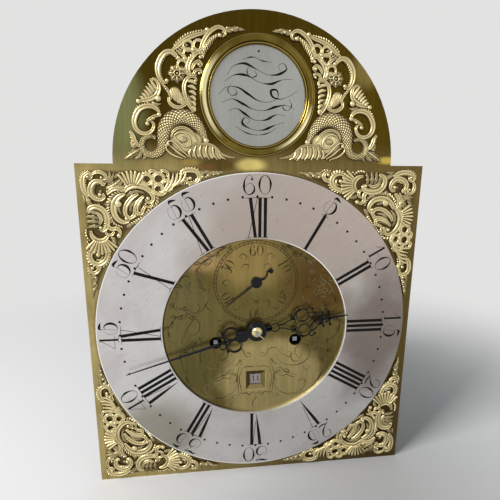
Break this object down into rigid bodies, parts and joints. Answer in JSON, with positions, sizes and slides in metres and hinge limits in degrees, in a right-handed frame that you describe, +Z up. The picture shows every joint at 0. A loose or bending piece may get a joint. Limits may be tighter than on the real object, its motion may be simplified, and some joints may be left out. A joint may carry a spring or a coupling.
{
  "type": "longcase clock head",
  "caption": "Longcase clock head: arched brass dial with silvered chapter ring, blued steel hands and an eight-day striking movement with bell",
  "frame": {"origin": "bottom edge of the front plate, at its middle and in the middle of its thickness, where the movement stands on its seatboard", "axes": "+Z up, +X to the right seen from the front, -Y is the way the dial faces"},
  "size_m": [0.3048, 0.1513, 0.4263],
  "materials": {
    "dial_brass": "brushed, engraved and lacquered",
    "silvered_brass": "silvered, matt, engraved and waxed black",
    "gilt_brass": "cast, lacquered, high points polished",
    "movement_brass": "filed and stoned",
    "blued_steel": "blued",
    "bright_steel": "polished, slightly worn",
    "bell_metal": "turned"
  },
  "bodies": {
    "frame": {"dial_plate": "dial_brass", "dial_feet": "dial_brass", "chapter_ring": "silvered_brass", "arch_boss_ring": "gilt_brass", "arch_boss_disc": "silvered_brass", "corner_spandrel_top_left": "gilt_brass", "corner_spandrel_top_right": "gilt_brass", "corner_spandrel_bottom_right": "gilt_brass", "corner_spandrel_bottom_left": "gilt_brass", "arch_dolphin_left": "gilt_brass", "arch_dolphin_right": "gilt_brass", "spandrel_screws": "bright_steel", "taper_pins": "bright_steel", "front_plate": "movement_brass", "back_plate": "movement_brass", "movement_pillars": "movement_brass", "back_cock": "movement_brass", "hour_bridge": "movement_brass", "movement_screws": "bright_steel", "front_studs": "bright_steel", "date_studs": "bright_steel", "steel_springs": "bright_steel", "bell": "bell_metal", "bell_stand": "bright_steel"},
    "centre": {"centre_arbor": "bright_steel", "centre_wheel": "movement_brass", "cannon_wheel": "movement_brass", "minute_hand": "blued_steel", "hand_collet": "movement_brass", "hand_pin": "bright_steel"},
    "hour": {"hour_wheel": "movement_brass", "snail": "movement_brass", "hour_hand": "blued_steel"},
    "going_great": {"going_great_wheel": "movement_brass"},
    "going_winding": {"going_barrel": "movement_brass", "going_barrel_arbor": "bright_steel"},
    "going_click": {"going_click": "bright_steel"},
    "strike_great": {"strike_great_wheel": "movement_brass"},
    "strike_winding": {"strike_barrel": "movement_brass", "strike_barrel_arbor": "bright_steel"},
    "strike_click": {"strike_click": "bright_steel"},
    "third": {"third_arbor": "bright_steel", "third_wheel": "movement_brass"},
    "escape": {"escape_arbor": "bright_steel", "escape_wheel": "movement_brass", "seconds_hand": "blued_steel"},
    "pallets": {"pallets": "bright_steel", "pallet_arbor": "bright_steel"},
    "minute_wheel": {"minute_wheel": "movement_brass"},
    "day_wheel": {"day_wheel": "movement_brass"},
    "date_disc": {"date_disc": "silvered_brass"},
    "pin_wheel": {"pin_wheel": "movement_brass"},
    "gathering": {"gathering_wheel": "movement_brass", "gathering_pallet": "bright_steel"},
    "warning_wheel": {"warning_wheel": "movement_brass"},
    "fly": {"fly": "movement_brass"},
    "rack": {"rack": "bright_steel"},
    "rack_hook": {"rack_hook": "bright_steel"},
    "lifting_piece": {"lifting_piece": "bright_steel"},
    "hammer": {"hammer": "bright_steel"}
  },
  "joints": [
    {"name": "centre_spin", "type": "hinge", "parent": "frame", "child": "centre", "pos_m": [0, 0, 0.062], "axis": [0, 1, 0], "continuous": true},
    {"name": "hour_spin", "type": "hinge", "parent": "frame", "child": "hour", "pos_m": [0, 0, 0.062], "axis": [0, 1, 0], "continuous": true},
    {"name": "third_spin", "type": "hinge", "parent": "frame", "child": "third", "pos_m": [0.00843, 0, 0.08714], "axis": [0, 1, 0], "continuous": true},
    {"name": "escape_spin", "type": "hinge", "parent": "frame", "child": "escape", "pos_m": [0, 0, 0.1082], "axis": [0, 1, 0], "continuous": true},
    {"name": "going_great_spin", "type": "hinge", "parent": "frame", "child": "going_great", "pos_m": [0.0383, 0, 0.0495], "axis": [0, 1, 0], "continuous": true},
    {"name": "minute_wheel_spin", "type": "hinge", "parent": "frame", "child": "minute_wheel", "pos_m": [0.014, 0, 0.03951], "axis": [0, 1, 0], "continuous": true},
    {"name": "day_wheel_spin", "type": "hinge", "parent": "frame", "child": "day_wheel", "pos_m": [-0.01, 0, 0.03213], "axis": [0, 1, 0], "continuous": true},
    {"name": "going_winding", "type": "hinge", "parent": "going_great", "child": "going_winding", "pos_m": [0.0383, 0, 0.0495], "axis": [0, 1, 0], "continuous": true},
    {"name": "going_click_lift", "type": "hinge", "parent": "going_great", "child": "going_click", "pos_m": [0.01659, 0, 0.0343], "axis": [0, 1, 0], "range_deg": [0, 12], "stiffness_Nm_per_rad": 0.01, "springref_deg": -17.19},
    {"name": "pallet_swing", "type": "hinge", "parent": "frame", "child": "pallets", "pos_m": [0, 0, 0.1344], "axis": [0, 1, 0], "range_deg": [-3, 3]},
    {"name": "date_spin", "type": "hinge", "parent": "frame", "child": "date_disc", "pos_m": [0, 0, -0.034], "axis": [0, 1, 0], "continuous": true},
    {"name": "gathering_spin", "type": "hinge", "parent": "frame", "child": "gathering", "pos_m": [-0.02997, 0, 0.09702], "axis": [0, 1, 0], "continuous": true},
    {"name": "pin_wheel_spin", "type": "hinge", "parent": "frame", "child": "pin_wheel", "pos_m": [-0.04602, 0, 0.08431], "axis": [0, 1, 0], "continuous": true},
    {"name": "strike_great_spin", "type": "hinge", "parent": "frame", "child": "strike_great", "pos_m": [-0.0383, 0, 0.0495], "axis": [0, 1, 0], "continuous": true},
    {"name": "warning_spin", "type": "hinge", "parent": "frame", "child": "warning_wheel", "pos_m": [-0.03196, 0, 0.1137], "axis": [0, 1, 0], "continuous": true},
    {"name": "fly_spin", "type": "hinge", "parent": "frame", "child": "fly", "pos_m": [-0.03594, 0, 0.12858], "axis": [0, 1, 0], "continuous": true},
    {"name": "strike_winding", "type": "hinge", "parent": "strike_great", "child": "strike_winding", "pos_m": [-0.0383, 0, 0.0495], "axis": [0, 1, 0], "continuous": true},
    {"name": "strike_click_lift", "type": "hinge", "parent": "strike_great", "child": "strike_click", "pos_m": [-0.06001, 0, 0.0343], "axis": [0, 1, 0], "range_deg": [0, 12], "stiffness_Nm_per_rad": 0.01, "springref_deg": -17.19},
    {"name": "hammer_lift", "type": "hinge", "parent": "frame", "child": "hammer", "pos_m": [-0.056, 0, 0.122], "axis": [0, 1, 0], "range_deg": [-5, 0], "stiffness_Nm_per_rad": 0.1, "springref_deg": 8.59},
    {"name": "rack_fall", "type": "hinge", "parent": "frame", "child": "rack", "pos_m": [-0.052, 0, 0.022], "axis": [0, 1, 0], "range_deg": [-4, 0]},
    {"name": "rack_hook_lift", "type": "hinge", "parent": "frame", "child": "rack_hook", "pos_m": [0.024, 0, 0.102], "axis": [0, 1, 0], "range_deg": [0, 8]},
    {"name": "lifting_piece_lift", "type": "hinge", "parent": "frame", "child": "lifting_piece", "pos_m": [0.047, 0, 0.074], "axis": [0, 1, 0], "range_deg": [0, 5]}
  ],
  "couplings": [
    {"joint": "going_great_spin", "follows": "centre_spin", "ratio": -0.083333},
    {"joint": "third_spin", "follows": "centre_spin", "ratio": -7.5},
    {"joint": "escape_spin", "follows": "centre_spin", "ratio": 60},
    {"joint": "minute_wheel_spin", "follows": "centre_spin", "ratio": -1},
    {"joint": "hour_spin", "follows": "centre_spin", "ratio": 0.083333},
    {"joint": "day_wheel_spin", "follows": "centre_spin", "ratio": -0.041667},
    {"joint": "pin_wheel_spin", "follows": "gathering_spin", "ratio": -0.125},
    {"joint": "strike_great_spin", "follows": "gathering_spin", "ratio": 0.011905},
    {"joint": "warning_spin", "follows": "gathering_spin", "ratio": -7},
    {"joint": "fly_spin", "follows": "gathering_spin", "ratio": 49}
  ]
}
